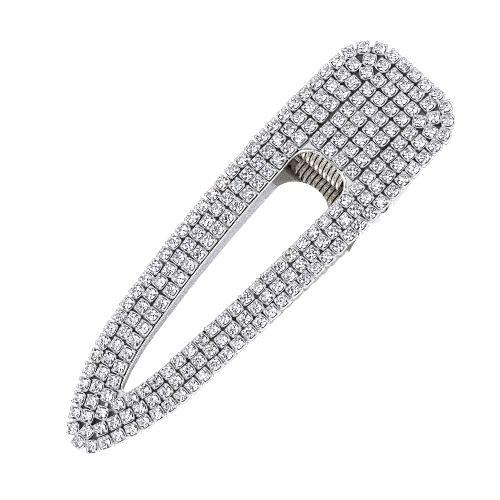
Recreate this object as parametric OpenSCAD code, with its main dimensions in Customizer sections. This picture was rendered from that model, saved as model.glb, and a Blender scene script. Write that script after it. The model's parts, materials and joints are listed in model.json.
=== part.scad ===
// Hollow spring hair clip covered with crystal cup chain.
// X runs along the clip with the biting tip at -X, Y runs across it and Z is up.
// It lies closed on a table: the lower jaw's tip and the end of its handle touch Z = 0.

/* [Plan outline] */
// Distance from the middle of the clip to the stone at the tip
tip_reach = 40.85; // [38:0.05:44]
// Radius of the outer chain round the tip
tip_r = 3.2; // [2.8:0.1:4]
// Turn of the outer chain round the tip, in degrees
tip_turn = 60.5; // [58:0.5:63]
// Radius of the outer chain along the nose
nose_r = 47; // [44:0.5:50]
// Turn of the outer chain along the nose, in degrees
nose_turn = 23; // [22:0.5:24]
// Radius of the outer chain along the sides
side_r = 400; // [380:5:420]
// Turn of the outer chain along a side, in degrees
side_turn = 8.1; // [7.8:0.1:8.4]
// Radius of the outer chain at the corners of the head
corner_r = 6; // [5:0.25:7]

/* [Upper jaw] */
// Radius of the arch that both jaws follow along their length
arch_r = 220; // [200:5:260]
// Thickness of the upper plate
upper_t = 0.8; // [0.6:0.05:1]
// How far the plate stands out past the centres of the outer stones
upper_margin = 0.45; // [0.3:0.05:0.8]
// Distance from the outer stones' centres in to the edge of the opening
upper_opening_inset = 5.8; // [5.6:0.05:6.2]
// Where the opening ends, at the head
upper_opening_end = 20.9; // [20:0.1:21.2]
// Length of the opening's rounded end
opening_round = 4.5; // [4:0.1:5]
// How square the opening's rounded end is, where 2 is an ellipse
upper_opening_square = 2.6; // [2:0.1:3]
// Radius at the sharp end of an opening
opening_tip_r = 1; // [0.8:0.1:1.2]

/* [Lower jaw] */
// Thickness of the lower plate
lower_t = 0.7; // [0.6:0.05:0.9]
// Height of the lower plate's top at the tip, under the top of the arch
lower_tip_drop = 5.44; // [5.3:0.02:5.8]
// Where the lower plate bends down towards its handle
bend_x = 12.2; // [11:0.1:13]
// Height of the lower plate's top at the bend, under the top of the arch
bend_drop = 6.07; // [5.9:0.01:6.3]
// Slope of the handle, in degrees
handle_slope = 20; // [18:0.5:21]
// Where the handle ends
handle_end = 39.6; // [38:0.1:40]
// Half the width of the handle at the hinge
handle_half = 10.25; // [10.1:0.05:10.3]
// Half the width of the handle near its end
handle_end_half = 7.8; // [7:0.1:9]
// Length over which the lower plate narrows to the handle
handle_neck = 3.6; // [3:0.1:4]
// Radius of the corners at the handle's end
handle_corner_r = 5; // [4:0.25:6]
// How far the lower plate stands out past the centres of the outer stones
lower_margin = 0.37; // [0.2:0.01:0.4]
// Distance from the outer stones' centres in to the edge of the lower opening
lower_opening_inset = 5.7; // [5.6:0.05:6.2]
// Where the lower opening ends
lower_opening_end = 16.4; // [16:0.1:16.8]
// Height of the toothed flange over the lower plate
flange_h = 1.6; // [1.2:0.1:2]
// Thickness of the flange
flange_t = 0.7; // [0.5:0.05:0.8]
// Distance from tooth to tooth
tooth_pitch = 2; // [1.6:0.1:2.6]
// Radius of the hollow between two teeth
tooth_gap_r = 0.62; // [0.4:0.02:0.7]

/* [Hinge] */
// Where the hinge pin is along the clip
pin_x = 21.25; // [21:0.05:21.5]
// Height of the pin's axis, under the top of the arch
pin_drop = 5.4; // [5.3:0.05:5.6]
// Radius of the pin's shaft
pin_r = 1; // [0.9:0.05:1.1]
// Radius of the domed heads
pin_head_r = 1.7; // [1.5:0.05:1.9]
// Height of the domed heads
pin_head_h = 0.8; // [0.6:0.05:0.9]
// Thickness of the ears that hold the pin
ear_t = 0.8; // [0.7:0.05:0.8]
// Outer face of the upper jaw's ears, from the middle
upper_ear_y = 11.4; // [11.35:0.01:11.45]
// Outer face of the lower jaw's ears, from the middle
lower_ear_y = 10.25; // [10.1:0.01:10.3]
// Radius of the upper ears round the pin
upper_ear_r = 2.6; // [2.4:0.05:2.7]
// Reach of the upper ears in front of the pin, at the plate
upper_ear_front = 4; // [3.6:0.1:4.4]
// Reach of the upper ears behind the pin
upper_ear_back = 8.6; // [8:0.1:8.8]
// Radius of the lower ears round the pin
lower_ear_r = 2.3; // [2:0.05:2.4]
// Reach of the lower ears in front of the pin, at the handle
lower_ear_front = 4.6; // [4:0.1:5]
// Reach of the lower ears behind the pin, at the handle
lower_ear_back = 5.4; // [5:0.1:6]
// Running clearance of the pin in the lower ears
pin_clear = 0.05; // [0.03:0.01:0.08]

/* [Spring] */
// Diameter of the spring wire
wire_d = 0.98; // [0.9:0.01:1]
// Outer radius of the coil
coil_r = 2.8; // [2.7:0.05:2.85]
// Distance from turn to turn
coil_pitch = 1; // [1:0.01:1.05]
// Full turns from leg to leg, before the part turn
coil_turns = 9; // [8:1:10]
// First turn's place across the clip
coil_start_y = -3; // [-4:0.1:-2]
// Reach of the two legs behind the pin
leg_reach = 9.5; // [8:0.1:10]
// Slope of the leg under the upper plate, in degrees
upper_leg_slope = 3; // [2.5:0.1:5]
// Slope of the leg on the handle, in degrees
lower_leg_slope = 24.5; // [22:0.1:25]

/* [Cup chain] */
// Distance between the two end stones of a chain, where its ends meet near a corner of the head
closing_gap = 2.8; // [2.6:0.05:3.2]
// Distance from chain to chain round the edge
chain_gap = 2.3; // [2.28:0.01:2.34]
// Distance from stone to stone along a middle row
row_pitch = 2.33; // [2.3:0.01:2.34]
// Distance from middle row to middle row
row_gap = 2.55; // [2.5:0.01:2.6]
// First stone of the middle rows
row_start = 22.25; // [22.2:0.01:22.3]
// Stones in each middle row
row_count = 6; // [4:1:6]
// Width of a cup
cup_w = 2.1; // [2:0.02:2.12]
// Radius at a cup's corners
cup_corner_r = 1.19; // [1.15:0.01:1.2]
// Height of a cup with its prongs
cup_h = 1.5; // [1.4:0.05:1.6]
// Height of a cup's wall between the prongs
cup_wall_h = 1.05; // [0.95:0.05:1.1]
// Thickness of a cup's floor
cup_floor = 0.35; // [0.3:0.01:0.4]
// Width of the gap between two prongs
prong_gap = 1.25; // [1.1:0.05:1.4]
// Radius of a stone at its girdle
stone_r = 0.97; // [0.9:0.01:0.97]
// Radius of a stone's table
table_r = 0.58; // [0.5:0.01:0.65]
// Height of the stones' girdles over the plate
girdle_h = 1.16; // [1.15:0.01:1.2]
// Height of a stone's crown
crown_h = 0.44; // [0.35:0.01:0.5]
// Width of the links between cups
link_w = 0.5; // [0.4:0.05:0.6]
// Thickness of the links
link_t = 0.25; // [0.2:0.05:0.3]

/* [Hidden] */

// Half a width that is wider than the clip, for cutting shapes
wide = 20;
// Gap of the cups over the plate, the pin in the upper ears and each head on its ear
glue = 0.02;
// Gap of a stone in its cup
bore_gap = 0.01;
// Gap between a link and the cup at each of its ends
link_gap = 0.02;
// A link that would be shorter than this is left out
link_least = 0.06;
// Turn from cup to cup at which their corners face each other, in degrees
corner_turn = 20;
// Where the upper ears' round side ends, in degrees under the pin's level
upper_ear_turn = 70;
// Height of the upper ears' low corner over the pin
upper_ear_low = 1;
// Size of the bevel at that corner, back and up
upper_ear_bevel = [0.6, 0.8];
// How far the handle keeps its full width behind the pin
handle_straight = 1;
// Turn of the corners at the handle's end, in degrees
handle_corner_turn = 81;
// How far the pin's shaft runs into each head
shaft_lap = 0.1;
// Straight steps in each stretch of an opening's edge and in a corner
curve_steps = 12;
// Middle rows between the two sides of the inner chain
rows = 4;
// Clearance between the teeth and the upper plate at the closed tip
tooth_clear = 0.12;
// Stones of the outer, middle and inner chains that run from the tip up the +Y side
far_stones = [33, 30, 27];
// Stones that run from the tip up the -Y side, across the head and round its +Y corner
near_stones = [40, 37, 33];
// Extra length from a chain's stone at the tip to the next, where its two sides would collide
tip_extra = [0, 0, 0.45];
nickel = "#c9c9cc";
silver = "#b9babf";
crystal = "#e9ecf5";

// ---- Plan: the half of the outer chain on the +Y side, four arcs and the end line ----
head_turn = 180 - tip_turn - nose_turn - side_turn;
radii = [tip_r, nose_r, side_r, corner_r];
turns = [tip_turn, nose_turn, side_turn, head_turn];

// The direction that points from an arc's start to its centre, for a heading
function inward(heading) = [cos(heading - 90), sin(heading - 90)];

// Heading at the start of arc i
function heading_at(i) = i == 0 ? 90 : heading_at(i - 1) - turns[i - 1];

// Start point of arc i
function start_of(i) =
    i == 0 ? [-tip_reach, 0]
    : centre_of(i - 1) - radii[i - 1] * inward(heading_at(i));

// Centre of arc i
function centre_of(i) = start_of(i) + radii[i] * inward(heading_at(i));

// Point and heading on arc i after a turn, moved in by inset
function on_arc(i, turn, inset) =
    let (heading = heading_at(i) - turn, p = centre_of(i) - (radii[i] - inset) * inward(heading))
    [p[0], p[1], heading];

// Turn on the nose arc before it leaves the middle line, where the tip arc has shrunk away
function nose_skip(inset) =
    inset < tip_r ? 0
    : heading_at(1) + 90 - (180 - asin(-centre_of(1)[1] / (nose_r - inset)));

// Turn that is skipped at the start of arc i
function skip_of(i, inset) =
    i == 0 && inset >= tip_r ? turns[0] : i == 1 ? nose_skip(inset) : 0;

// Length of arc i
function arc_length(i, inset) =
    max(0, radii[i] - inset) * (turns[i] - skip_of(i, inset)) * PI / 180;

// Half the length of the straight line across the head
end_half = centre_of(3)[1];
// Length of half the loop
function half_length(inset, i = 0) =
    i > 3 ? end_half : arc_length(i, inset) + half_length(inset, i + 1);

// Point and heading at length s along the half loop
function walk(inset, s, i = 0) =
    i > 3 ? [centre_of(3)[0] + corner_r - inset, end_half - s, -90]
    : s > arc_length(i, inset) || inset >= radii[i] ? walk(inset, s - arc_length(i, inset), i + 1)
    : on_arc(i, skip_of(i, inset) + s / (radii[i] - inset) * 180 / PI, inset);

// The same for the whole loop, with negative lengths down the -Y side
function on_loop(inset, s) =
    let (far = abs(s) > half_length(inset), p = walk(inset, far ? 2 * half_length(inset) - abs(s) : abs(s)))
    (s < 0) != far ? [p[0], -p[1], 180 - p[2]] : p;

// Half outline at an inset, as points
function half_outline(inset, step = 1) =
    let (whole = half_length(inset) - end_half, n = ceil(whole / step))
    [for (k = [0:n]) let (p = walk(inset, whole * k / n)) [p[0], p[1]]];

// Even steps from 0 up to, but not onto, 1
curve = [for (k = [0:curve_steps - 1]) k / curve_steps];

// A half outline and its mirror image
function both(half) = concat(half, [for (k = [len(half) - 1:-1:0]) [half[k][0], -half[k][1]]]);

// Half width of a side at an inset
function side_at(x, inset) =
    let (c = centre_of(2)) c[1] + sqrt((side_r - inset) ^ 2 - (x - c[0]) ^ 2);

// Half outline of an opening: a small round, the nose arc, the side arc and a quarter superellipse
function half_opening(inset, end, square) =
    let (
        c = centre_of(1),
        r = nose_r - inset,
        round_x = c[0] - sqrt((r - opening_tip_r) ^ 2 - c[1] ^ 2),
        meet = acos((round_x - c[0]) / (r - opening_tip_r)),
        last = heading_at(2) + 90,
        side_from = on_arc(2, 0, inset)[0],
        side_to = end - opening_round,
        round_y = side_at(side_to, inset),
        power = 2 / square
    )
    concat(
        [for (t = curve) let (a = 180 + (meet - 180) * t) [round_x, 0] + opening_tip_r * [cos(a), sin(a)]],
        [for (t = curve) let (a = meet + (last - meet) * t) c + r * [cos(a), sin(a)]],
        [for (t = curve) let (x = side_from + (side_to - side_from) * t) [x, side_at(x, inset)]],
        [for (t = curve) [side_to + opening_round * sin(90 * t) ^ power, round_y * cos(90 * t) ^ power]],
        [[end, 0]]
    );

// ---- Profile: both plates are sheets on long cylinders that lie across the clip ----
upper_centre = [0, -arch_r];
pin_z = -pin_drop;
// The lower sheet's circle passes through its tip and its bend
lower_from = [-tip_reach, -lower_tip_drop];
lower_to = [bend_x, -bend_drop];
lower_chord = lower_to - lower_from;
lower_middle = (lower_from + lower_to) / 2;
lower_centre = lower_middle
    + sqrt(arch_r ^ 2 - (norm(lower_chord) / 2) ^ 2) * [lower_chord[1], -lower_chord[0]] / norm(lower_chord);

// Height of a circle's top side at x
function sheet_z(centre, r, x) = centre[1] + sqrt(r ^ 2 - (x - centre[0]) ^ 2);

// Height of the teeth's crest at x
function crest_z(x) = min(
    sheet_z(lower_centre, arch_r + flange_h, x),
    sheet_z(upper_centre, arch_r - upper_t - tooth_clear, x)
);

// Height of the handle's top at x
function handle_z(x) = -bend_drop - (x - bend_x) * tan(handle_slope);

// ---- Rest on the table: the lower tip and the handle's end come down to Z = 0 ----
foot_front = [-tip_reach - lower_margin, sheet_z(lower_centre, arch_r - lower_t, -tip_reach - lower_margin)];
foot_rear = [handle_end, handle_z(handle_end) - lower_t / cos(handle_slope)];
rest_tilt = atan((foot_front[1] - foot_rear[1]) / (foot_rear[0] - foot_front[0]));
function rest_x(p) = p[0] * cos(rest_tilt) - p[1] * sin(rest_tilt);
function rest_z(p) = p[0] * sin(rest_tilt) + p[1] * cos(rest_tilt);
tip_edge = [-tip_reach - cup_w / 2, sheet_z(upper_centre, arch_r, tip_reach) + cup_h];
head_edge = [centre_of(3)[0] + corner_r + cup_w / 2, sheet_z(upper_centre, arch_r, tip_reach)];
shift = [-(rest_x(tip_edge) + rest_x(head_edge)) / 2, 0, -rest_z(foot_front)];

module at_rest() {
    translate(shift) rotate([0, -rest_tilt, 0]) children();
}

// A solid long cylinder across the clip
module across(centre, r) {
    translate([centre[0], 0, centre[1]]) rotate([90, 0, 0])
        cylinder(r = r, h = 2 * wide, center = true, $fn = 720);
}

// A sheet of thickness t whose top lies on a circle
module sheet(centre, r, t) {
    difference() {
        across(centre, r);
        across(centre, r - t);
    }
}

// A plan outline, as tall as the clip
module tall(points) {
    translate([0, 0, -wide]) linear_extrude(2 * wide) polygon(points);
}

// A shape in the X-Z plane, standing across the clip from y to y + t
module upright(y, t) {
    translate([0, y + t, 0]) rotate([90, 0, 0]) linear_extrude(t) children();
}

// ---- Jaws ----
module upper_ear_shape() {
    translate([pin_x, pin_z]) circle(r = upper_ear_r, $fn = 72);
    polygon([
        [pin_x - upper_ear_front, 0],
        [pin_x - upper_ear_r, pin_z],
        [pin_x, pin_z],
        [pin_x + upper_ear_r * cos(upper_ear_turn), pin_z - upper_ear_r * sin(upper_ear_turn)],
        [pin_x + upper_ear_back - upper_ear_bevel[0], pin_z + upper_ear_low],
        [pin_x + upper_ear_back, pin_z + upper_ear_low + upper_ear_bevel[1]],
        [pin_x + upper_ear_back, 0]
    ]);
}

module pin_hole(r) {
    translate([pin_x, 0, pin_z]) rotate([90, 0, 0]) cylinder(r = r, h = 2 * wide, center = true, $fn = 48);
}

module upper_jaw() {
    color(nickel) at_rest() difference() {
        union() {
            intersection() {
                sheet(upper_centre, arch_r, upper_t);
                difference() {
                    tall(both(half_outline(-upper_margin)));
                    tall(both(half_opening(upper_opening_inset, upper_opening_end, upper_opening_square)));
                }
            }
            intersection() {
                across(upper_centre, arch_r - upper_t / 2);
                union() {
                    upright(-upper_ear_y, ear_t) upper_ear_shape();
                    upright(upper_ear_y - ear_t, ear_t) upper_ear_shape();
                }
            }
        }
        pin_hole(pin_r + glue);
    }
}

// Half outline of the lower plate: the outer chain's curve, then the tongue of the handle
lower_half = concat(
    [for (p = half_outline(-lower_margin)) if (p[0] < bend_x) p],
    [
        [bend_x, side_at(bend_x, -lower_margin)],
        [bend_x + handle_neck, handle_half],
        [pin_x + handle_straight, handle_half]
    ],
    let (c = [handle_end, handle_end_half] - handle_corner_r * [1, 1])
    [for (t = concat(curve, 1)) let (a = handle_corner_turn * (1 - t)) c + handle_corner_r * [cos(a), sin(a)]]
);

module lower_sheet() {
    intersection() {
        sheet(lower_centre, arch_r, lower_t);
        translate([-3 * wide, -wide, -wide]) cube([3 * wide + bend_x, 2 * wide, 2 * wide]);
    }
    translate([bend_x, -wide, -bend_drop]) rotate([0, handle_slope, 0])
        translate([0, 0, -lower_t]) cube([2 * wide, 2 * wide, lower_t]);
}

// The toothed edge that rises from the lower plate on both sides and round the tip
module flange() {
    difference() {
        intersection() {
            difference() {
                tall(both([for (p = lower_half) if (p[0] <= bend_x) p]));
                tall(both(concat(half_outline(flange_t - lower_margin), [[2 * handle_end, 0]])));
                across(lower_centre, arch_r - lower_t / 2);
            }
            across(lower_centre, arch_r + flange_h);
            across(upper_centre, arch_r - upper_t - tooth_clear);
        }
        for (x = [2 * tooth_pitch - tip_reach:tooth_pitch:bend_x - tooth_gap_r])
            across([x, crest_z(x)], tooth_gap_r);
    }
}

module lower_ear_shape() {
    translate([pin_x, pin_z]) circle(r = lower_ear_r, $fn = 72);
    polygon([
        [pin_x - lower_ear_r, pin_z],
        [pin_x - lower_ear_front, handle_z(pin_x - lower_ear_front) - lower_t / 2],
        [pin_x + lower_ear_back, handle_z(pin_x + lower_ear_back) - lower_t / 2],
        [pin_x + lower_ear_r, pin_z]
    ]);
}

module lower_jaw() {
    color(nickel) at_rest() difference() {
        union() {
            intersection() {
                lower_sheet();
                difference() {
                    tall(both(lower_half));
                    tall(both(half_opening(lower_opening_inset, lower_opening_end, 2)));
                }
            }
            flange();
            upright(-lower_ear_y, ear_t) lower_ear_shape();
            upright(lower_ear_y - ear_t, ear_t) lower_ear_shape();
        }
        pin_hole(pin_r + pin_clear);
    }
}

// ---- Hinge pin and spring ----
dome_r = (pin_head_r ^ 2 + pin_head_h ^ 2) / (2 * pin_head_h);

module pin_head() {
    intersection() {
        translate([0, 0, pin_head_h - dome_r]) sphere(r = dome_r, $fn = 72);
        cylinder(r = 2 * pin_head_r, h = 2 * pin_head_h, $fn = 48);
    }
}

module hinge_pin() {
    head_y = upper_ear_y + glue;
    color(silver) at_rest() translate([pin_x, 0, pin_z]) {
        rotate([90, 0, 0]) cylinder(r = pin_r, h = 2 * (head_y + shaft_lap), center = true, $fn = 48);
        translate([0, head_y, 0]) rotate([-90, 0, 0]) pin_head();
        translate([0, -head_y, 0]) rotate([90, 0, 0]) pin_head();
    }
}

// The wire's path: the leg on the handle, the turns, and the leg under the upper plate
coil_mid_r = coil_r - wire_d / 2;
coil_from = 180 + lower_leg_slope;
coil_to = 360 * (coil_turns + 1) + upper_leg_slope;
turn_steps = 18;
coil_count = ceil((coil_to - coil_from) / 360 * turn_steps);
function coil_point(a) = [
    pin_x + coil_mid_r * sin(a),
    coil_start_y + coil_pitch * (a - coil_from) / 360,
    pin_z + coil_mid_r * cos(a)
];
coil_end_y = coil_point(coil_to)[1];
wire_path = concat(
    [coil_point(coil_from) + leg_reach * [cos(lower_leg_slope), 0, -sin(lower_leg_slope)]],
    [for (k = [0:coil_count]) coil_point(coil_from + (coil_to - coil_from) * k / coil_count)],
    [coil_point(coil_to) + leg_reach * [cos(upper_leg_slope), 0, -sin(upper_leg_slope)]]
);
wire_sides = 6;

// Ring of the wire at point k, square to the path and with one side always towards +Y
function wire_ring(k) =
    let (
        last = len(wire_path) - 1,
        along = wire_path[min(k + 1, last)] - wire_path[max(k - 1, 0)],
        t = along / norm(along),
        flat = [0, 1, 0] - t[1] * t,
        u = flat / norm(flat),
        v = cross(t, u)
    )
    [for (n = [0:wire_sides - 1])
        let (a = 360 * (n + 0.5) / wire_sides) wire_path[k] + wire_d / 2 * (cos(a) * u + sin(a) * v)];

module torsion_spring() {
    rings = len(wire_path);
    points = [for (k = [0:rings - 1]) each wire_ring(k)];
    sides = [
        for (k = [0:rings - 2])
        for (n = [0:wire_sides - 1])
        let (m = (n + 1) % wire_sides, a = k * wire_sides, b = a + wire_sides)
        each [[a + n, a + m, b + m], [a + n, b + m, b + n]]
    ];
    first_cap = [for (n = [wire_sides - 1:-1:0]) n];
    last_cap = [for (n = [0:wire_sides - 1]) (rings - 1) * wire_sides + n];
    color(silver) at_rest() polyhedron(points, concat(sides, [first_cap, last_cap]));
}

// ---- Cup chain ----
// Stones of a loop: one at the tip, then evenly down both sides to where the ends nearly meet
function loop_spots(n) =
    let (
        inset = n * chain_gap,
        whole = 2 * (half_length(inset) - tip_extra[n]),
        pitch = (whole - closing_gap) / (far_stones[n] + near_stones[n])
    )
    [for (k = [-near_stones[n]:far_stones[n]]) on_loop(inset, k * pitch + sign(k) * tip_extra[n])];

// Stones of middle row n, from 1 on the -Y side up to the last on the +Y side
function row_spots(n) =
    [for (k = [0:row_count - 1]) [row_start + k * row_pitch, (n - (rows + 1) / 2) * row_gap, 0]];

// Puts children on the upper plate at a spot, standing square to it
module on_plate(spot) {
    lean = asin(spot[0] / arch_r);
    translate([arch_r * sin(lean), spot[1], arch_r * (cos(lean) - 1)]) rotate([0, lean, 0])
        translate([0, 0, glue]) rotate([0, 0, spot[2]]) children();
}

module cup() {
    difference() {
        intersection() {
            translate([-cup_w / 2, -cup_w / 2, 0]) cube([cup_w, cup_w, cup_h]);
            cylinder(r = cup_corner_r, h = cup_h, $fn = 48);
        }
        translate([0, 0, cup_floor]) cylinder(r = stone_r + bore_gap, h = cup_h, $fn = 48);
        translate([-cup_w, -prong_gap / 2, cup_wall_h]) cube([2 * cup_w, prong_gap, cup_h]);
        translate([-prong_gap / 2, -cup_w, cup_wall_h]) cube([prong_gap, 2 * cup_w, cup_h]);
    }
}

module stone() {
    rotate_extrude($fn = 48) polygon([
        [0, cup_floor + bore_gap],
        [stone_r, girdle_h],
        [table_r, girdle_h + crown_h],
        [0, girdle_h + crown_h]
    ]);
}

module cups(spots) {
    color(silver) at_rest() for (spot = spots) on_plate(spot) cup();
}

module stones(spots) {
    color(crystal) at_rest() for (spot = spots) on_plate(spot) stone();
}

// A link lies between two neighbouring cups, flat on the plate
module links(spots) {
    color(silver) at_rest() for (k = [0:len(spots) - 2]) {
        step = [spots[k + 1][0] - spots[k][0], spots[k + 1][1] - spots[k][1]];
        middle = [(spots[k][0] + spots[k + 1][0]) / 2, (spots[k][1] + spots[k + 1][1]) / 2];
        turn = abs(spots[k + 1][2] - spots[k][2]);
        corners = 2 * (cup_corner_r - cup_w / 2) * min(1, turn / corner_turn);
        gap = norm(step) - cup_w - 2 * link_gap - corners;
        if (gap > link_least)
            on_plate([middle[0], middle[1], atan2(step[1], step[0])])
                translate([-gap / 2, -link_w / 2, 0]) cube([gap, link_w, link_t]);
    }
}

module outer_cups() { cups(loop_spots(0)); }
module outer_links() { links(loop_spots(0)); }
module outer_stones() { stones(loop_spots(0)); }
module middle_cups() { cups(loop_spots(1)); }
module middle_links() { links(loop_spots(1)); }
module middle_stones() { stones(loop_spots(1)); }
module inner_cups() { cups(loop_spots(2)); }
module inner_links() { links(loop_spots(2)); }
module inner_stones() { stones(loop_spots(2)); }
module row_1_cups() { cups(row_spots(1)); }
module row_1_links() { links(row_spots(1)); }
module row_1_stones() { stones(row_spots(1)); }
module row_2_cups() { cups(row_spots(2)); }
module row_2_links() { links(row_spots(2)); }
module row_2_stones() { stones(row_spots(2)); }
module row_3_cups() { cups(row_spots(3)); }
module row_3_links() { links(row_spots(3)); }
module row_3_stones() { stones(row_spots(3)); }
module row_4_cups() { cups(row_spots(4)); }
module row_4_links() { links(row_spots(4)); }
module row_4_stones() { stones(row_spots(4)); }

upper_jaw();
lower_jaw();
hinge_pin();
torsion_spring();
outer_cups();
outer_links();
outer_stones();
middle_cups();
middle_links();
middle_stones();
inner_cups();
inner_links();
inner_stones();
row_1_cups();
row_1_links();
row_1_stones();
row_2_cups();
row_2_links();
row_2_stones();
row_3_cups();
row_3_links();
row_3_stones();
row_4_cups();
row_4_links();
row_4_stones();
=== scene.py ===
import json
import math
import random

import bpy
import numpy as np
from mathutils import Matrix, Vector
from mathutils.geometry import delaunay_2d_cdt


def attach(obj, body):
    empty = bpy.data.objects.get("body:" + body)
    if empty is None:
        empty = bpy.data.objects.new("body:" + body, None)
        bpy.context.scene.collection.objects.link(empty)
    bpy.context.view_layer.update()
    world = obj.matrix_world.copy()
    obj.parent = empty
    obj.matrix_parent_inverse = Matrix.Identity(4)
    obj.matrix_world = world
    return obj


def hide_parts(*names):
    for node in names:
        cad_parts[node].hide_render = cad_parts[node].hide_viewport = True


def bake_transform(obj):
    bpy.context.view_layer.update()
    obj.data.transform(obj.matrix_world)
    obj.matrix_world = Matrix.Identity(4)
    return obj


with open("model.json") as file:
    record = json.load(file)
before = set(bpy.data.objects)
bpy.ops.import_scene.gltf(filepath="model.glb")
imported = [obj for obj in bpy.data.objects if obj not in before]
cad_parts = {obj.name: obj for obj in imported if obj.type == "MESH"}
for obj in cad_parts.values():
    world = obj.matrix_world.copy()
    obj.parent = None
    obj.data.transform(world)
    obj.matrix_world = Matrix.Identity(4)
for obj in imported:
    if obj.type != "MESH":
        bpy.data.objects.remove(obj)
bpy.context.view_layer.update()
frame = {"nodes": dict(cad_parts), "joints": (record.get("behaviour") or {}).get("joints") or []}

MM = 0.001

# ---- Named sizes ----
CHAINS = ["outer", "middle", "inner", "row_1", "row_2", "row_3", "row_4"]
SEED = 7

# Reading the CAD: points this near are one, and triangles under these areas in square metres are left out.
# A cup's face is its bottom or a wall by how far the face's normal goes up the cup's axis
SAME_POINT = 1e-7
TINY_CUP_AREA = 1e-12
TINY_JAW_AREA = 1e-13
FACE_BOTTOM = -0.999
FACE_WALL = 0.05

# Cup: a square bowl with rounded corners and four claws, measured from the middle of its bottom.
# A size in a pair is half a side: along the chain first, then across it
LOOP_CUP = (1.16 * MM, 1.1 * MM)
ROW_CUP = (1.1 * MM, 1.19 * MM)
CUP_SQUARENESS = 8.0
CUP_BORE = 0.95 * MM
BORE_SQUARENESS = 2.4
CUP_FOOT = 0.06 * MM
CUP_LIP = 0.03 * MM
CUP_FLOOR = 0.34 * MM
CUP_SIDE_TOP = 0.98 * MM
CUP_CORNER_TOP = 1.2 * MM
CORNER_FULLNESS = 0.7
CLAW_WIDTH = 0.5 * MM
CLAW_THICK = 0.17 * MM
CLAW_TIP_R = 0.83 * MM
CLAW_FULLNESS = 0.7

# Cups are painted dark, as painted shade, up to the first share of their height, and unshaded from the
# second
CUP_SHADE_HEIGHTS = (0.05, 0.6)

# Cups with a neighbour this near that is turned by this many degrees are rounder
CROWDED_CUP = (1.16 * MM, 1.16 * MM)
CROWDED_SQUARENESS = 5.0
CROWDED_TURN = 30.0
CUP_NEAR = 2.8 * MM

# How far a cup may sit askew: in degrees, and sideways
CUP_SHAKE = 6.0
CUP_SHIFT = 0.05 * MM

# Stone: a faceted crown on a foiled pavilion. It leans by up to its tilt in degrees, and by no less than the
# least share of it
STONE_R = 0.92 * MM
STONE_TABLE_R = 0.54 * MM
STONE_TOP = 1.6 * MM
STONE_GIRDLE = 1.16 * MM
STONE_BAND = 0.03 * MM
STONE_CULET = 0.37 * MM
STONE_TILT = 4.0
LEAST_TILT = 0.3
STONE_FACETS = 8
WARM_STONES_RARITY = 4

# Glue between the cups: its reach from cup to cup, and what counts as one point, are in millimetres
GLUE_REACH = 3.5
GLUE_SAME_POINT = 1e-6
GLUE_DEPTH = 0.016 * MM
GLUE_THICK = 0.012 * MM

# Rims of the openings: half widths along the sides and round the upper arch. An opening's edge joins a face
# that looks up to one that stands upright, by the height of their normals, and it reaches past both ends of
# its span along X
UPPER_RIM = 0.13 * MM
UPPER_ARCH_RIM = 0.3 * MM
LOWER_RIM = 0.11 * MM
RIM_RISE = 0.12 * MM
RIM_SINK = 0.4 * RIM_RISE
RIM_OVERHANG = 0.02 * MM
FACE_UP = 0.8
FACE_UPRIGHT = 0.4
OPENING_SPAN = (-20 * MM, 10 * MM)
ARCH_FROM_X = 14.5 * MM
ARCH_TO_X = 18.5 * MM

# Spring: slopes are in degrees from the table, and the creases between its turns are painted dark, as
# painted shade, out to a radius
WIRE_R = 0.455 * MM
COIL_MID_R = 2.31 * MM
COIL_PITCH = 1.0 * MM
COIL_TURNS = 9
COIL_START_Y = -3.0 * MM
CREASE_SHADE_R = 2.38 * MM
CREASE_SHADE_END_R = 2.54 * MM
LEG_REACH = 9.5 * MM
LEG_STEPS = 8
LOWER_LEG_SLOPE = 17.03
UPPER_LEG_SLOPE = -4.47

# Where the lower jaw bends down towards its handle, and where the handle's polish starts
BEND_X = 12.5 * MM
BEND_EDGE = 0.4 * MM
NECK_END_X = 16.6 * MM
NECK_EDGE = 1.2 * MM

# The upper plate's underside is painted dark from here to here, over the coil, as painted shade
HINGE_SHADE_FROM_X = 13.0 * MM
HINGE_SHADE_FROM_EDGE = 1.5 * MM
HINGE_SHADE_TO_X = 26.0 * MM
HINGE_SHADE_TO_EDGE = 2.0 * MM

# Softened edges of the plates, and how much finer a metal's waves are than its clouds
PLATE_EDGE = 0.12 * MM
WAVES_FINER = 9

# A plate's top and underside, by the height of their normals: over each pair the one fades into the sides
TOP_SLOPE = (0.6, 0.8)
UNDER_SLOPE = (-0.8, -0.6)

# Hinge pin, behind and under the top of the upper jaw's arch
PIN_BACK = 21.25 * MM
PIN_DROP = 5.4 * MM

# Camera: nearly square to the upper jaw, leaning 15 degrees towards the -Y side
JAW_TILT = 7.474
VIEW_LEAN = 15.0
VIEW_ROLL = 47.5
VIEW_DISTANCE = 0.4
VIEW_LENS = 175.7
VIEW_RIGHT = 1.15 * MM
VIEW_UP = 0.885 * MM

# Floor: it glows and is lighter, as a painted pool of light, up to the first distance from the clip, and is
# dim from the second
FLOOR_HALF = 1.0
FLOOR_DROP = 0.02 * MM
FLOOR_NEAR = 75 * MM
FLOOR_FAR = 220 * MM

# Sky: dark gaps between the lamps, spread over the dome on a spiral, in degrees, and a dim horizon.
# Behind the clip the camera sees a plain wall
DARK_PATCHES = 26
PATCH_RADIUS = 9.0
PATCH_EDGE = 3.0
HORIZON_SHADE = 0.04
HORIZON_TOP = 0.56
GOLDEN_ANGLE = 137.508
SKY_COLOUR = (1.31, 1.31, 1.33)
GAP_COLOUR = (0.01, 0.008, 0.006)
WALL_COLOUR = (0.74, 0.74, 0.74, 1)

# Sockets of a Mix node: its first value, its second and its result
COLOUR_MIX = (6, 7, 2)
NUMBER_MIX = (2, 3, 0)


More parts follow.
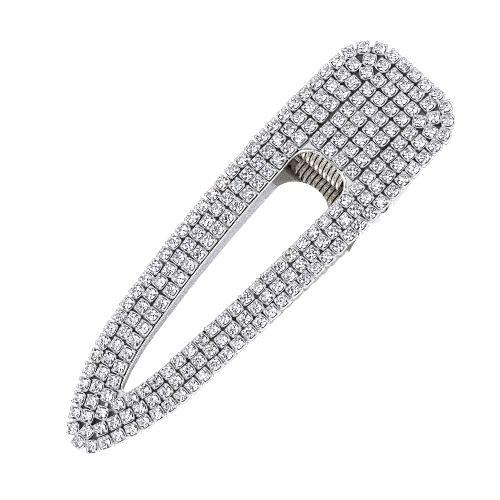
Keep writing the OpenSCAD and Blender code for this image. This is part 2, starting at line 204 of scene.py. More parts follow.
# ---- Node helpers ----
def new_material(name):
    """A material with only its shader, with its node tree and that shader."""
    mat = bpy.data.materials.new(name)
    mat.use_nodes = True
    mat.node_tree.nodes.clear()
    out = mat.node_tree.nodes.new("ShaderNodeOutputMaterial")
    shader = mat.node_tree.nodes.new("ShaderNodeBsdfPrincipled")
    mat.node_tree.links.new(shader.outputs[0], out.inputs["Surface"])
    return mat, mat.node_tree, shader


def add_node(tree, kind, **settings):
    """A node with its settings, where a name that starts with in_ is a socket's."""
    made = tree.nodes.new(kind)
    for key, value in settings.items():
        if key.startswith("in_"):
            made.inputs[key[3:].replace("_", " ")].default_value = value
        else:
            setattr(made, key, value)
    return made


def noise(tree, scale, detail=3.0):
    """Noise in the object's own space, at a scale per metre."""
    coords = add_node(tree, "ShaderNodeTexCoord")
    field = add_node(tree, "ShaderNodeTexNoise", in_Scale=scale, in_Detail=detail)
    tree.links.new(coords.outputs["Object"], field.inputs["Vector"])
    return field.outputs["Fac"]


def ramp(tree, source, low, high, from_low=0.35, from_high=0.65):
    """Turns a value into another range. The range it comes from is by default a noise's usual one."""
    made = add_node(tree, "ShaderNodeMapRange")
    made.inputs["From Min"].default_value = from_low
    made.inputs["From Max"].default_value = from_high
    made.inputs["To Min"].default_value = low
    made.inputs["To Max"].default_value = high
    tree.links.new(source, made.inputs["Value"])
    return made.outputs["Result"]


def product(tree, first, second):
    made = add_node(tree, "ShaderNodeMath", operation="MULTIPLY")
    tree.links.new(first, made.inputs[0])
    tree.links.new(second, made.inputs[1])
    return made.outputs[0]


def mix_colours(tree, factor, first, second):
    made = add_node(tree, "ShaderNodeMix", data_type="RGBA")
    low, high, result = COLOUR_MIX
    made.inputs[low].default_value = (*first, 1)
    made.inputs[high].default_value = (*second, 1)
    tree.links.new(factor, made.inputs[0])
    return made.outputs[result]


def mix_socket(tree, shader, socket, factor, value):
    """Blends what feeds a shader's socket with a fixed number or colour, by a factor."""
    is_colour = socket == "Base Color"
    low, high, result = COLOUR_MIX if is_colour else NUMBER_MIX
    usual = shader.inputs[socket].links[0].from_socket
    made = add_node(tree, "ShaderNodeMix", data_type="RGBA" if is_colour else "FLOAT")
    made.inputs[high].default_value = (*value, 1) if is_colour else value
    tree.links.new(factor, made.inputs[0])
    tree.links.new(usual, made.inputs[low])
    tree.links.new(made.outputs[result], shader.inputs[socket])


def opened(mat):
    """A material's node tree and shader, and the object's own coordinates and normals as X, Y and Z."""
    tree = mat.node_tree
    shader = next(n for n in tree.nodes if n.type == "BSDF_PRINCIPLED")
    coords = add_node(tree, "ShaderNodeTexCoord")
    place = add_node(tree, "ShaderNodeSeparateXYZ")
    tree.links.new(coords.outputs["Object"], place.inputs[0])
    facing = add_node(tree, "ShaderNodeSeparateXYZ")
    tree.links.new(coords.outputs["Normal"], facing.inputs[0])
    return tree, shader, place.outputs, facing.outputs


# ---- Materials ----
def polished_metal(name, tones, roughness, scale, bump, edge=0.0):
    """Plated metal: a cloudy tone between two, an uneven roughness between two, fine waves, soft edges."""
    mat, tree, shader = new_material(name)
    shader.inputs["Metallic"].default_value = 1.0
    cloud = noise(tree, scale, 4.0)
    fine = noise(tree, scale * WAVES_FINER)
    tree.links.new(mix_colours(tree, ramp(tree, cloud, 0, 1), *tones), shader.inputs["Base Color"])
    tree.links.new(ramp(tree, fine, *roughness), shader.inputs["Roughness"])
    waves = add_node(tree, "ShaderNodeBump", in_Strength=1.0, in_Distance=bump)
    tree.links.new(fine, waves.inputs["Height"])
    if edge:
        rounded = add_node(tree, "ShaderNodeBevel", samples=4, in_Radius=edge)
        tree.links.new(rounded.outputs[0], waves.inputs["Normal"])
    tree.links.new(waves.outputs[0], shader.inputs["Normal"])
    return mat


def upper_plate():
    """Nickel: its underside is painted lighter than its top ahead of the hinge, as painted light, and
    painted dark where it covers the hinge, as painted shade over the coil.
    """
    mat = polished_metal("polished_nickel", tones=((0.54, 0.55, 0.54), (0.62, 0.63, 0.62)),
                         roughness=(0.04, 0.1), scale=300, bump=0.0002 * MM, edge=PLATE_EDGE)
    tree, shader, place, facing = opened(mat)
    under = ramp(tree, facing["Z"], 1, 0, *UNDER_SLOPE)
    front = ramp(tree, place["X"], 1, 0, HINGE_SHADE_FROM_X, HINGE_SHADE_FROM_X + HINGE_SHADE_FROM_EDGE)
    behind = ramp(tree, place["X"], 0, 1, HINGE_SHADE_FROM_X, HINGE_SHADE_FROM_X + HINGE_SHADE_FROM_EDGE)
    ahead = ramp(tree, place["X"], 1, 0, HINGE_SHADE_TO_X - HINGE_SHADE_TO_EDGE, HINGE_SHADE_TO_X)
    # Painted light: ahead of the hinge the underside is lighter than the top, which brightens the lower jaw
    # below it
    mix_socket(tree, shader, "Base Color", product(tree, under, front), (0.92, 0.92, 0.93))
    # Painted shade: over the coil the underside is painted dark
    hinge = product(tree, under, product(tree, behind, ahead))
    mix_socket(tree, shader, "Base Color", hinge, (0.13, 0.105, 0.08))
    return mat


def lower_plate():
    """Nickel: polished on the handle, duller at the neck, and satin on top of the jaw ahead of the bend,
    which is also painted lighter and faintly lavender as painted light.
    """
    mat = polished_metal("lower_nickel", tones=((0.62, 0.605, 0.575), (0.74, 0.725, 0.7)),
                         roughness=(0.02, 0.05), scale=300, bump=0.0001 * MM, edge=PLATE_EDGE)
    tree, shader, place, facing = opened(mat)
    neck = ramp(tree, place["X"], 1, 0, NECK_END_X - NECK_EDGE, NECK_END_X)
    mix_socket(tree, shader, "Base Color", neck, (0.9, 0.88, 0.84))
    mix_socket(tree, shader, "Roughness", neck, 0.5)
    ahead = ramp(tree, place["X"], 1, 0, BEND_X - BEND_EDGE, BEND_X)
    front = product(tree, ahead, ramp(tree, facing["Z"], 0, 1, *TOP_SLOPE))
    # Painted light: the jaw's top ahead of the bend lies in the upper jaw's shade and is painted lighter and
    # faintly lavender
    mix_socket(tree, shader, "Base Color", front, (0.97, 0.96, 1.0))
    mix_socket(tree, shader, "Roughness", front, 0.72)
    return mat


def spring_steel():
    """Bright wire, with painted shade darkening the creases between its turns."""
    mat = polished_metal("spring_wire", tones=((0.79, 0.755, 0.7), (0.89, 0.855, 0.8)),
                         roughness=(0.2, 0.26), scale=200, bump=0.0001 * MM)
    tree, shader, place, _ = opened(mat)
    pivot = frame["joints"][0]["pos_m"]
    flat = add_node(tree, "ShaderNodeCombineXYZ")
    tree.links.new(place["X"], flat.inputs["X"])
    tree.links.new(place["Z"], flat.inputs["Z"])
    away = add_node(tree, "ShaderNodeVectorMath", operation="DISTANCE")
    away.inputs[1].default_value = (pivot[0], 0, pivot[2])
    tree.links.new(flat.outputs[0], away.inputs[0])
    # Painted shade: dark near the coil's axis, in the creases between the turns
    painted_crease_shade = ramp(tree, away.outputs["Value"], 1, 0, CREASE_SHADE_R, CREASE_SHADE_END_R)
    mix_socket(tree, shader, "Base Color", painted_crease_shade, (0.07, 0.058, 0.045))
    return mat


def cup_metal():
    """Rhodium plated cups, painted dark low down as painted shade between and inside them."""
    mat, tree, shader = new_material("cup_rhodium")
    shader.inputs["Metallic"].default_value = 1.0
    height = add_node(tree, "ShaderNodeAttribute", attribute_name="height")
    spots = noise(tree, 900)
    # Painted shade: nearly black low on each cup
    unshaded_share = ramp(tree, height.outputs["Fac"], 0, 1, *CUP_SHADE_HEIGHTS)
    tone = mix_colours(tree, unshaded_share, (0.02, 0.02, 0.024), (0.94, 0.94, 0.96))
    tree.links.new(tone, shader.inputs["Base Color"])
    tree.links.new(ramp(tree, spots, 0.1, 0.24), shader.inputs["Roughness"])
    bump = add_node(tree, "ShaderNodeBump", in_Strength=1.0, in_Distance=0.01 * MM)
    tree.links.new(spots, bump.inputs["Height"])
    tree.links.new(bump.outputs[0], shader.inputs["Normal"])
    return mat


def crystal_glass():
    """Clear cut glass, very slightly cool or warm from stone to stone."""
    mat, tree, shader = new_material("crystal_glass")
    shader.inputs["Transmission Weight"].default_value = 1.0
    shader.inputs["IOR"].default_value = 1.56
    shader.inputs["Roughness"].default_value = 0.0
    tint = add_node(tree, "ShaderNodeAttribute", attribute_name="tint")
    cool = mix_colours(tree, tint.outputs["Fac"], (0.985, 0.987, 1.0), (1.0, 0.994, 0.99))
    tree.links.new(cool, shader.inputs["Base Color"])
    return mat


def stone_foil():
    """Silver foil behind the stone, with a little uneven tone from stone to stone."""
    mat, tree, shader = new_material("stone_foil")
    shader.inputs["Metallic"].default_value = 1.0
    tint = add_node(tree, "ShaderNodeAttribute", attribute_name="tint")
    tone = add_node(tree, "ShaderNodeValToRGB")
    tone.color_ramp.elements[0].position = 0.0
    tone.color_ramp.elements[0].color = (0.94, 0.942, 0.965, 1)
    tone.color_ramp.elements[1].position = 1.0
    tone.color_ramp.elements[1].color = (0.955, 0.93, 0.918, 1)
    middle = tone.color_ramp.elements.new(0.75)
    middle.color = (0.95, 0.95, 0.955, 1)
    tree.links.new(tint.outputs["Fac"], tone.inputs["Fac"])
    tree.links.new(tone.outputs["Color"], shader.inputs["Base Color"])
    shader.inputs["Roughness"].default_value = 0.0
    return mat


def glue_with_painted_shade():
    """Glue, nearly black in places as painted shade between the cups, and showing the plate's grey in
    others.
    """
    mat, tree, shader = new_material("glue_with_painted_shade")
    cloud = noise(tree, 700)
    tree.links.new(mix_colours(tree, ramp(tree, cloud, 0, 1), (0.03, 0.028, 0.028), (0.5, 0.49, 0.49)),
                   shader.inputs["Base Color"])
    tree.links.new(ramp(tree, cloud, 0.35, 0.6), shader.inputs["Roughness"])
    return mat


# ---- Reading the CAD ----
def read_mesh(name):
    """A CAD node's mesh, its points, and for each point a number that points at one place share."""
    mesh = frame["nodes"][name].data
    mesh.calc_loop_triangles()
    points = np.array([v.co for v in mesh.vertices])
    rounded = np.round(points / SAME_POINT).astype(np.int64)
    return mesh, points, np.unique(rounded, axis=0, return_inverse=True)[1].ravel()


def solids_of(name):
    """The separate solids of a CAD node, each as its triangles' corner points."""
    mesh, points, merged = read_mesh(name)
    tris = np.array([t.vertices for t in mesh.loop_triangles])
    tris_merged = merged[tris]
    label = np.arange(merged.max() + 1)
    while True:
        lowest = label[tris_merged].min(axis=1)
        before = label.copy()
        np.minimum.at(label, tris_merged.ravel(), np.repeat(lowest, 3))
        if (label == before).all():
            break
    groups = label[tris_merged[:, 0]]
    return [points[tris[groups == g]] for g in np.unique(groups)]


def cup_place(tris):
    """Matrix of a cup: origin at the middle of its bottom, Z up out of it, X across one of its sides."""
    crosses = np.cross(tris[:, 1] - tris[:, 0], tris[:, 2] - tris[:, 0])
    areas = np.linalg.norm(crosses, axis=1) / 2
    keep = areas > TINY_CUP_AREA
    tris, crosses, areas = tris[keep], crosses[keep], areas[keep]
    normals = crosses / (2 * areas[:, None])
    kinds, which = np.unique(np.round(normals, 2), axis=0, return_inverse=True)
    up = kinds[np.bincount(which.ravel(), weights=areas).argmax()]
    up = up / np.linalg.norm(up) * math.copysign(1, up[2])
    bottom = normals @ up < FACE_BOTTOM
    up = -(normals[bottom] * areas[bottom, None]).sum(axis=0)
    up /= np.linalg.norm(up)
    centre = (tris[bottom].mean(axis=1) * areas[bottom, None]).sum(axis=0) / areas[bottom].sum()
    side = np.array([1.0, 0.0, 0.0]) - up[0] * up
    side /= np.linalg.norm(side)
    other = np.cross(up, side)
    upright = np.abs(normals @ up) < FACE_WALL
    outward = ((tris.mean(axis=1) - centre) * normals).sum(axis=1) > 0
    walls = upright & outward
    angle = np.arctan2(normals[walls] @ other, normals[walls] @ side)
    turn = np.angle((areas[walls] * np.exp(4j * angle)).sum()) / 4
    x = math.cos(turn) * side + math.sin(turn) * other
    y = np.cross(up, x)
    made = np.eye(4)
    made[:3, 0], made[:3, 1], made[:3, 2], made[:3, 3] = x, y, up, centre
    return made


# ---- Mesh helpers ----
def mesh_object(name, points, faces, materials, face_material=None, smooth=None, values=None):
    """A mesh from arrays: faces is a list of index tuples, values holds named point attributes."""
    mesh = bpy.data.meshes.new(name)
    mesh.from_pydata([tuple(p) for p in points], [], faces)
    for material in materials:
        mesh.materials.append(material)
    if face_material is not None:
        mesh.polygons.foreach_set("material_index", face_material)
    if smooth is not None:
        mesh.polygons.foreach_set("use_smooth", smooth)
    for key, data in (values or {}).items():
        mesh.attributes.new(key, "FLOAT", "POINT").data.foreach_set("value", data)
    mesh.update()
    made = bpy.data.objects.new(name, mesh)
    bpy.context.scene.collection.objects.link(made)
    return made


def gather(shapes, places):
    """One mesh of many shapes, each put at its own matrix."""
    all_points, all_faces, count = [], [], 0
    for (points, faces), place in zip(shapes, places):
        local = np.c_[points, np.ones(len(points))]
        all_points.append((local @ place.T)[:, :3])
        all_faces += [tuple(i + count for i in f) for f in faces]
        count += len(points)
    return np.concatenate(all_points), all_faces


def ring_faces(first, second, count, closed=True):
    """Quads between two rings of points."""
    last = count if closed else count - 1
    return [(first + k, first + (k + 1) % count, second + (k + 1) % count, second + k) for k in range(last)]


# ---- Cup ----
def cup_reach(angle, halves, squareness):
    """Distance from a cup's middle to its side in a direction."""
    x, y = abs(math.cos(angle)) / halves[0], abs(math.sin(angle)) / halves[1]
    return (x**squareness + y**squareness) ** (-1 / squareness)


def cup_bowl(halves, squareness, sides=32):
    """The bowl as rings of points, low in the middle of each side and high at the corners."""
    angles = [2 * math.pi * k / sides for k in range(sides)]
    corner = [max(0.0, -math.cos(4 * a)) ** CORNER_FULLNESS for a in angles]
    top = [CUP_SIDE_TOP + (CUP_CORNER_TOP - CUP_SIDE_TOP) * c for c in corner]
    reach = [cup_reach(a, halves, squareness) for a in angles]
    bore = [cup_reach(a, (CUP_BORE, CUP_BORE), BORE_SQUARENESS) for a in angles]
    # From the foot up the outside, over the rounded lip and down the bore
    rings = [
        [(r - CUP_FOOT, 0.0) for r in reach],
        [(r, CUP_FOOT) for r in reach],
        [(r, t - 2 * CUP_LIP) for r, t in zip(reach, top)],
        [(r - 0.4 * CUP_LIP, t - 0.5 * CUP_LIP) for r, t in zip(reach, top)],
        [((r + b) / 2, t) for r, b, t in zip(reach, bore, top)],
        [(b, t - CUP_LIP) for b, t in zip(bore, top)],
        [(b, CUP_FLOOR) for b in bore],
    ]
    points = [(r * math.cos(a), r * math.sin(a), z) for ring in rings for (r, z), a in zip(ring, angles)]
    faces = [f for k in range(len(rings) - 1) for f in ring_faces(k * sides, (k + 1) * sides, sides)]
    faces.append(tuple(reversed(range(sides))))
    faces.append(tuple((len(rings) - 1) * sides + k for k in range(sides)))
    return points, faces


def squared(value):
    """A cosine or sine, for a section that is fuller than an ellipse."""
    return math.copysign(abs(value) ** CLAW_FULLNESS, value)


def claw(angle, reach, round_points=8):
    """A claw that rises from a corner of the bowl and bends in over the stone."""
    # Each step of its path: share of the way out from the tip, height in millimetres, and size
    steps = [
        (0.93, 0.85, 1.0), (1.0, 1.08, 1.0), (0.95, 1.24, 0.98), (0.7, 1.345, 0.94),
        (0.34, 1.385, 0.86), (0.12, 1.395, 0.7), (0.0, 1.395, 0.35),
    ]
    span = reach - CLAW_THICK / 2 - CLAW_TIP_R
    path = [((CLAW_TIP_R + share * span) / MM, height, size) for share, height, size in steps]
    c, s = math.cos(angle), math.sin(angle)
    points = []
    for k, (r, z, size) in enumerate(path):
        before, after = path[max(0, k - 1)], path[min(len(path) - 1, k + 1)]
        along = Vector((after[0] - before[0], after[1] - before[1])).normalized()
        normal = Vector((along.y, -along.x))
        for n in range(round_points):
            a = 2 * math.pi * n / round_points
            wide = CLAW_WIDTH / 2 * size * squared(math.cos(a))
            thick = CLAW_THICK / 2 * size * squared(math.sin(a))
            out, up = r * MM + normal.x * thick, z * MM + normal.y * thick
            points.append((out * c - wide * s, out * s + wide * c, up))
    faces = []
    for k in range(len(path) - 1):
        faces += ring_faces(k * round_points, (k + 1) * round_points, round_points)
    faces.append(tuple(reversed(range(round_points))))
    faces.append(tuple((len(path) - 1) * round_points + n for n in range(round_points)))
    return points, faces


def cup_shape(halves, squareness):
    """A bowl with a claw at each corner; its first half size is along the chain."""
    points, faces = cup_bowl(halves, squareness)
    first = math.atan2(halves[1], halves[0])
    for angle in (first, math.pi - first, math.pi + first, -first):
        more_points, more_faces = claw(angle, cup_reach(angle, halves, squareness))
        faces += [tuple(i + len(points) for i in f) for f in more_faces]
        points += more_points
    return np.array(points), faces


# ---- Stone ----
def flat_ring(radius, heights):
    """Points round a circle, one for each height."""
    count = len(heights)
    angles = [2 * math.pi * k / count for k in range(count)]
    return [(radius * math.cos(a), radius * math.sin(a), z) for a, z in zip(angles, heights)]


def stone_shape():
    """A chaton: octagonal table, 8 flat crown facets, a scalloped girdle and a foiled back of 8 facets."""
    flat = math.cos(math.pi / STONE_FACETS)
    # Each flat facet meets the round girdle low in its middle and high at its corners
    crown_low = STONE_GIRDLE + STONE_BAND / 2
    crown_share = flat * (STONE_R - STONE_TABLE_R) / (STONE_R - flat * STONE_TABLE_R)
    crown_high = STONE_TOP - (STONE_TOP - crown_low) * crown_share
    back_high = STONE_GIRDLE - STONE_BAND / 2
    back_low = STONE_CULET + (back_high - STONE_CULET) * flat
    points = flat_ring(STONE_TABLE_R, [STONE_TOP] * STONE_FACETS)
    points += flat_ring(STONE_R, [crown_high, crown_low] * STONE_FACETS)
    points += flat_ring(STONE_R, [back_low, back_high] * STONE_FACETS)
    points.append((0.0, 0.0, STONE_CULET))
    around = 2 * STONE_FACETS
    upper, under, culet = STONE_FACETS, STONE_FACETS + around, STONE_FACETS + 2 * around
    glass = [tuple(range(STONE_FACETS))] + ring_faces(under, upper, around)
    foil = []
    for k in range(STONE_FACETS):
        corner, middle, after = 2 * k, 2 * k + 1, (2 * k + 2) % around
        glass.append((k, upper + corner, upper + middle, upper + after, (k + 1) % STONE_FACETS))
        foil.append((culet, under + after, under + middle, under + corner))
    return np.array(points), glass, foil


def stone_places(places, dice):
    """Each stone turned at random in its cup and set a little askew, about the middle of its girdle."""
    made = []
    middle = Matrix.Translation((0, 0, STONE_GIRDLE))
    for place in places:
        turn = Matrix.Rotation(dice.uniform(0, 2 * math.pi / STONE_FACETS), 4, "Z")
        towards = dice.uniform(0, 2 * math.pi)
        lean_axis = Vector((math.cos(towards), math.sin(towards), 0))
        lean = Matrix.Rotation(math.radians(dice.uniform(LEAST_TILT, 1.0) * STONE_TILT), 4, lean_axis)
        made.append(place @ np.array(middle @ lean @ turn @ middle.inverted()))
    return made


# ---- Chains ----
def turn_between(first, second):
    """The angle in degrees from one cup's sides to another's."""
    angle = math.degrees(math.acos(min(1, abs(first[:3, 0] @ second[:3, 0]))))
    return min(angle, 90 - angle)


def crowded(place, places):
    """Whether a cup has a turned neighbour, which its own corners have to make room for."""
    near = [other for other in places if np.linalg.norm(other[:3, 3] - place[:3, 3]) < CUP_NEAR]
    return any(turn_between(place, other) > CROWDED_TURN for other in near)


def along_chain(place, places):
    """A cup's matrix, with its X axis turned towards the next cup of its chain."""
    steps = [other[:3, 3] - place[:3, 3] for other in places if other is not place]
    step = min(steps, key=np.linalg.norm)
    quarter = Matrix.Rotation(math.pi / 2, 4, "Z")
    across = abs(step @ place[:3, 1]) > abs(step @ place[:3, 0])
    return place @ np.array(quarter) if across else place


def shaken(place, dice):
    """A cup's matrix, set a little askew."""
    turn = Matrix.Rotation(math.radians(dice.uniform(-1, 1) * CUP_SHAKE), 4, "Z")
    lean = Matrix.Rotation(math.radians(dice.uniform(-1, 1) * CUP_SHAKE / 2), 4, "X")
    move = Matrix.Translation((dice.uniform(-1, 1) * CUP_SHIFT, dice.uniform(-1, 1) * CUP_SHIFT, 0))
    return place @ np.array(move @ turn @ lean)


def build_chain(chain, cup_meshes, stone_mesh, looks, dice):
    """One chain's cups and stones, at the places of its CAD cups. Returns the matrices of the cups."""
    found = [cup_place(tris) for tris in solids_of(chain + "_cups")]
    straight = [along_chain(place, found) for place in found]
    usual = "row" if chain.startswith("row") else "loop"
    shapes = [cup_meshes["crowded" if crowded(place, straight) else usual] for place in straight]
    places = [shaken(place, dice) for place in straight]
    points, faces = gather(shapes, places)
    heights = np.concatenate([shape[0][:, 2] for shape in shapes]) / CUP_CORNER_TOP
    cups = mesh_object(chain + "_cups_shown", points, faces, [looks["cup"]], smooth=[True] * len(faces),
                       values={"height": heights})
    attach(cups, "upper_body")
    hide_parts(chain + "_cups")

    base, glass, foil = stone_mesh
    points, faces = gather([(base, glass + foil)] * len(places), stone_places(places, dice))
    kinds = ([0] * len(glass) + [1] * len(foil)) * len(places)
    tints = np.repeat([dice.random() ** WARM_STONES_RARITY for _ in places], len(base))
    stones = mesh_object(chain + "_stones_shown", points, faces, [looks["glass"], looks["foil"]],
                         face_material=kinds, values={"tint": tints})
    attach(stones, "upper_body")
    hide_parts(chain + "_stones")
    return places


# ---- Glue ----
def build_glue(look, places):
    """The film of glue between the cups, dark as painted shade: triangles from cup to cup, just over the
    plate.
    """
    low = [Vector(p[:3, 3] - GLUE_DEPTH * p[:3, 2]) for p in places]
    high = [Vector(p[:3, 3] - (GLUE_DEPTH - GLUE_THICK) * p[:3, 2]) for p in places]
    flat = [Vector((p.x / MM, p.y / MM)) for p in low]
    tris = delaunay_2d_cdt(flat, [], [], 0, GLUE_SAME_POINT)[2]
    near = [t for t in tris if all((flat[t[k]] - flat[t[k - 1]]).length < GLUE_REACH for k in range(3))]
    edges = [(t[k - 1], t[k]) for t in near for k in range(3)]
    rims = [(a, b) for a, b in edges if (b, a) not in set(edges)]
    count = len(places)
    faces = [tuple(i + count for i in t) for t in near] + [tuple(reversed(t)) for t in near]
    faces += [(a, b, b + count, a + count) for a, b in rims]
    film = mesh_object("glue_film", low + high, faces, [look])
    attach(film, "upper_body")


# ---- Rims ----
def rim_links(mesh, merged):
    """Which places are joined by an edge between a face that looks up and one that stands upright."""
    slopes = {}
    for tri in mesh.loop_triangles:
        if tri.area > TINY_JAW_AREA:
            corner = [int(merged[i]) for i in tri.vertices]
            for k in range(3):
                slopes.setdefault(frozenset((corner[k - 1], corner[k])), []).append(tri.normal.z)
    links = {}
    for edge, pair in slopes.items():
        joins_two = len(pair) == 2 and len(edge) == 2
        if joins_two and max(pair) > FACE_UP and abs(min(pair, key=abs)) < FACE_UPRIGHT:
            first, second = edge
            links.setdefault(first, []).append(second)
            links.setdefault(second, []).append(first)
    return links


def loops_of(links):
    """Follows linked places round, as lists in order."""
    loops = []
    while links:
        here = next(iter(links))
        loop = [here]
        while True:
            following = [n for n in links.pop(here, []) if n in links]
            if not following:
                break
            here = following[0]
            loop.append(here)
        loops.append(loop)
    return loops


def opening_edge(name):
    """The edge round a jaw's opening, on its top side: an ordered loop of points from the CAD."""
    mesh, points, merged = read_mesh(name)
    places = {int(k): Vector(p) for k, p in zip(merged, points)}
    loops = [[places[k] for k in loop] for loop in loops_of(rim_links(mesh, merged))]

    def spans_opening(loop):
        return min(p.x for p in loop) < OPENING_SPAN[0] and max(p.x for p in loop) > OPENING_SPAN[1]

    whole = [loop for loop in loops if spans_opening(loop)]
    return min(whole, key=lambda loop: max(abs(p.y) for p in loop))


def build_rim(name, node, body, side_half, arch_half, look, sides=12):
    """The rolled rim of an opening: a bead along its edge, which may be wider round the arch."""
    path = opening_edge(node)
    count = len(path)
    middle = sum(path, Vector()) / count
    points, faces = [], []
    for k in range(count):
        along = (path[(k + 1) % count] - path[k - 1]).normalized()
        up = (Vector((0, 0, 1)) - along.z * along).normalized()
        across = along.cross(up)
        outward = across if across.dot(path[k] - middle) > 0 else -across
        share = min(1.0, max(0.0, (path[k].x - ARCH_FROM_X) / (ARCH_TO_X - ARCH_FROM_X)))
        half = side_half + (arch_half - side_half) * share
        centre = path[k] + outward * share * (half - RIM_OVERHANG) - up * RIM_SINK
        for n in range(sides):
            a = 2 * math.pi * n / sides
            points.append(centre + RIM_RISE * math.cos(a) * up + half * math.sin(a) * across)
        faces += ring_faces(k * sides, (k + 1) % count * sides, sides)
    bead = mesh_object(name, points, faces, [look], smooth=[True] * len(faces))
    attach(bead, body)


# ---- Spring ----
def spring_path(pivot, steps_per_turn=40):
    """The wire's middle line: the leg on the handle, the turns, and the leg under the upper plate."""
    first = math.radians(180 + LOWER_LEG_SLOPE)
    last = math.radians(360 * (COIL_TURNS + 1) + UPPER_LEG_SLOPE)
    count = round((last - first) / (2 * math.pi) * steps_per_turn)

    def on_coil(a):
        y = COIL_START_Y + COIL_PITCH * (a - first) / (2 * math.pi)
        return Vector((pivot.x + COIL_MID_R * math.sin(a), y, pivot.z + COIL_MID_R * math.cos(a)))

    turns = [on_coil(first + (last - first) * k / count) for k in range(count + 1)]
    low, high = math.radians(LOWER_LEG_SLOPE), math.radians(UPPER_LEG_SLOPE)
    low_leg = Vector((math.cos(low), 0, -math.sin(low))) * LEG_REACH
    high_leg = Vector((math.cos(high), 0, -math.sin(high))) * LEG_REACH
    shares = [k / LEG_STEPS for k in range(LEG_STEPS, 0, -1)]
    legs_in = [turns[0] + low_leg * s for s in shares]
    legs_out = [turns[-1] + high_leg * s for s in reversed(shares)]
    return legs_in + turns + legs_out


def tube(path, radius, sides=16):
    """A round wire along a path, with domed ends."""
    points, faces = [], []
    last = len(path) - 1
    # Each ring: its place on the path, its size, and how far it is pushed along, in radii
    rings = [(0, 0.35, -0.9), (0, 0.8, -0.55)] + [(k, 1.0, 0.0) for k in range(len(path))]
    rings += [(last, 0.8, 0.55), (last, 0.35, 0.9)]
    for k, size, push in rings:
        along = (path[min(k + 1, last)] - path[max(k - 1, 0)]).normalized()
        u = (Vector((0, 1, 0)) - along.y * along).normalized()
        v = along.cross(u)
        middle = path[k] + along * push * radius
        for n in range(sides):
            a = 2 * math.pi * n / sides
            points.append(middle + radius * size * (math.cos(a) * u + math.sin(a) * v))
    for k in range(len(rings) - 1):
        faces += ring_faces(k * sides, (k + 1) * sides, sides)
    faces.append(tuple(reversed(range(sides))))
    faces.append(tuple((len(rings) - 1) * sides + n for n in range(sides)))
    return points, faces


def build_spring(look):
    """The torsion spring, as one wire: a leg on the lower jaw's handle, the turns, and a leg under the upper
    plate.
    """
    pivot = Vector(frame["joints"][0]["pos_m"])
    path = spring_path(pivot)
    points, faces = tube(path, WIRE_R)
    spring = mesh_object("spring_wound", points, faces, [look], smooth=[True] * len(faces))
    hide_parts("torsion_spring")
    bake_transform(spring)


# ---- Stage ----
def build_floor():
    """A plain pale floor that glows, brightest round the clip, as a painted pool of light."""
    corners = [(x * FLOOR_HALF, y * FLOOR_HALF, 0) for x, y in ((-1, -1), (1, -1), (1, 1), (-1, 1))]
    floor = mesh_object("floor", corners, [(0, 1, 2, 3)], [])
    floor.location.z = -FLOOR_DROP
    mat, tree, shader = new_material("pale_floor")
    coords = add_node(tree, "ShaderNodeTexCoord")
    away = add_node(tree, "ShaderNodeVectorMath", operation="LENGTH")
    tree.links.new(coords.outputs["Object"], away.inputs[0])
    near = ramp(tree, away.outputs["Value"], 1, 0, FLOOR_NEAR, FLOOR_FAR)
    # Painted light: lighter and glowing near the clip, dimmer far off
    tree.links.new(mix_colours(tree, near, (0.46, 0.46, 0.46), (0.6, 0.6, 0.6)), shader.inputs["Base Color"])
    shader.inputs["Roughness"].default_value = 0.9
    shader.inputs["Emission Color"].default_value = (1, 1, 1, 1)
    tree.links.new(ramp(tree, near, 0.25, 0.85, 0, 1), shader.inputs["Emission Strength"])
    floor.data.materials.append(mat)


def dark_patches():
    """Direction of each dark gap between the lamps."""
    patches = []
    for k in range(DARK_PATCHES):
        a = math.radians(k * GOLDEN_ANGLE)
        e = math.asin(1 - (k + 0.5) / DARK_PATCHES)
        patches.append((math.cos(a) * math.cos(e), math.sin(a) * math.cos(e), math.sin(e)))
    return patches


def build_sky():
    """A bright soft dome with darker patches, which give the facets something to reflect."""
    world = bpy.data.worlds.new("studio")
    bpy.context.scene.world = world
    world.use_nodes = True
    tree = world.node_tree
    tree.nodes.clear()
    coords = add_node(tree, "ShaderNodeTexCoord")
    parts = add_node(tree, "ShaderNodeSeparateXYZ")
    tree.links.new(coords.outputs["Generated"], parts.inputs[0])
    value = ramp(tree, parts.outputs["Z"], HORIZON_SHADE, 1.0, 0.0, HORIZON_TOP)
    for direction in dark_patches():
        dot = add_node(tree, "ShaderNodeVectorMath", operation="DOT_PRODUCT")
        dot.inputs[1].default_value = direction
        tree.links.new(coords.outputs["Generated"], dot.inputs[0])
        patch = ramp(tree, dot.outputs["Value"], 1.0, 0.0,
                     math.cos(math.radians(PATCH_RADIUS + PATCH_EDGE)),
                     math.cos(math.radians(PATCH_RADIUS - PATCH_EDGE)))
        value = product(tree, value, patch)
    colour = mix_colours(tree, value, GAP_COLOUR, SKY_COLOUR)
    light = add_node(tree, "ShaderNodeBackground")
    tree.links.new(colour, light.inputs["Color"])
    wall = add_node(tree, "ShaderNodeBackground", in_Color=WALL_COLOUR)
    ray = add_node(tree, "ShaderNodeLightPath")
    choose = add_node(tree, "ShaderNodeMixShader")
    tree.links.new(ray.outputs["Is Camera Ray"], choose.inputs[0])
    tree.links.new(light.outputs[0], choose.inputs[1])
    tree.links.new(wall.outputs[0], choose.inputs[2])
    out = add_node(tree, "ShaderNodeOutputWorld")
    tree.links.new(choose.outputs[0], out.inputs["Surface"])


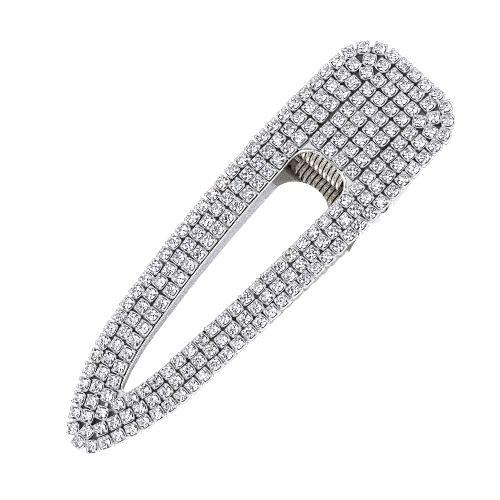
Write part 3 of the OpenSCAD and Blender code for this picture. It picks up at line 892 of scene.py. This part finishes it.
def build_camera():
    """The camera looks down on the upper jaw, at a point placed from the hinge."""
    tilt, lean, roll = (math.radians(v) for v in (JAW_TILT, VIEW_LEAN, VIEW_ROLL))
    along = Vector((math.cos(tilt), 0, math.sin(tilt)))
    towards = Vector((-math.sin(tilt) * math.cos(lean), -math.sin(lean), math.cos(tilt) * math.cos(lean)))
    across = towards.cross(along)
    right = math.cos(roll) * along - math.sin(roll) * across
    up = math.sin(roll) * along + math.cos(roll) * across
    pivot = Vector(frame["joints"][0]["pos_m"])
    over = Vector((-math.sin(tilt), 0, math.cos(tilt)))
    target = pivot - along * PIN_BACK + over * PIN_DROP + right * VIEW_RIGHT + up * VIEW_UP
    data = bpy.data.cameras.new("camera")
    data.lens = VIEW_LENS
    data.clip_start = 0.01
    camera = bpy.data.objects.new("camera", data)
    bpy.context.scene.collection.objects.link(camera)
    rotation = Matrix((right, up, towards)).transposed().to_4x4()
    camera.matrix_world = Matrix.Translation(target + towards * VIEW_DISTANCE) @ rotation
    bpy.context.scene.camera = camera


def dress_cad():
    """Gives the CAD pieces that stay their materials."""
    upper = upper_plate()
    lower = lower_plate()
    pin = polished_metal("pin_steel", tones=((0.7, 0.7, 0.7), (0.82, 0.82, 0.83)),
                         roughness=(0.05, 0.1), scale=500, bump=0.0005 * MM)
    links = polished_metal("link_metal", tones=((0.45, 0.45, 0.46), (0.75, 0.75, 0.76)),
                           roughness=(0.12, 0.3), scale=900, bump=0.005 * MM)
    for name, look in (("upper_jaw", upper), ("lower_jaw", lower), ("hinge_pin", pin)):
        frame["nodes"][name].data.materials[0] = look
    for chain in CHAINS:
        frame["nodes"][chain + "_links"].data.materials[0] = links


def set_picture():
    """Plain colours, sharp pixels, and enough bounces for light inside the stones."""
    scene = bpy.context.scene
    scene.view_settings.view_transform = "Standard"
    scene.cycles.use_denoising = False
    scene.cycles.filter_width = 0.8
    scene.cycles.max_bounces = 16
    scene.cycles.glossy_bounces = 12


def main():
    """Makes the looks, the pieces, and the stage they stand on."""
    looks = {"cup": cup_metal(), "glass": crystal_glass(), "foil": stone_foil()}
    dress_cad()
    dice = random.Random(SEED)
    cup_meshes = {
        "loop": cup_shape(LOOP_CUP, CUP_SQUARENESS),
        "row": cup_shape(ROW_CUP, CUP_SQUARENESS),
        "crowded": cup_shape(CROWDED_CUP, CROWDED_SQUARENESS),
    }
    stone_mesh = stone_shape()
    places = []
    for chain in CHAINS:
        places += build_chain(chain, cup_meshes, stone_mesh, looks, dice)
    build_glue(glue_with_painted_shade(), places)
    rim = polished_metal("rim_nickel", tones=((0.86, 0.86, 0.86), (0.94, 0.94, 0.94)),
                         roughness=(0.05, 0.1), scale=300, bump=0.0001 * MM)
    build_rim("opening_rim_upper", "upper_jaw", "upper_body", UPPER_RIM, UPPER_ARCH_RIM, rim)
    build_rim("opening_rim_lower", "lower_jaw", "lower_body", LOWER_RIM, LOWER_RIM, rim)
    build_spring(spring_steel())
    build_floor()
    build_sky()
    build_camera()
    set_picture()


main()
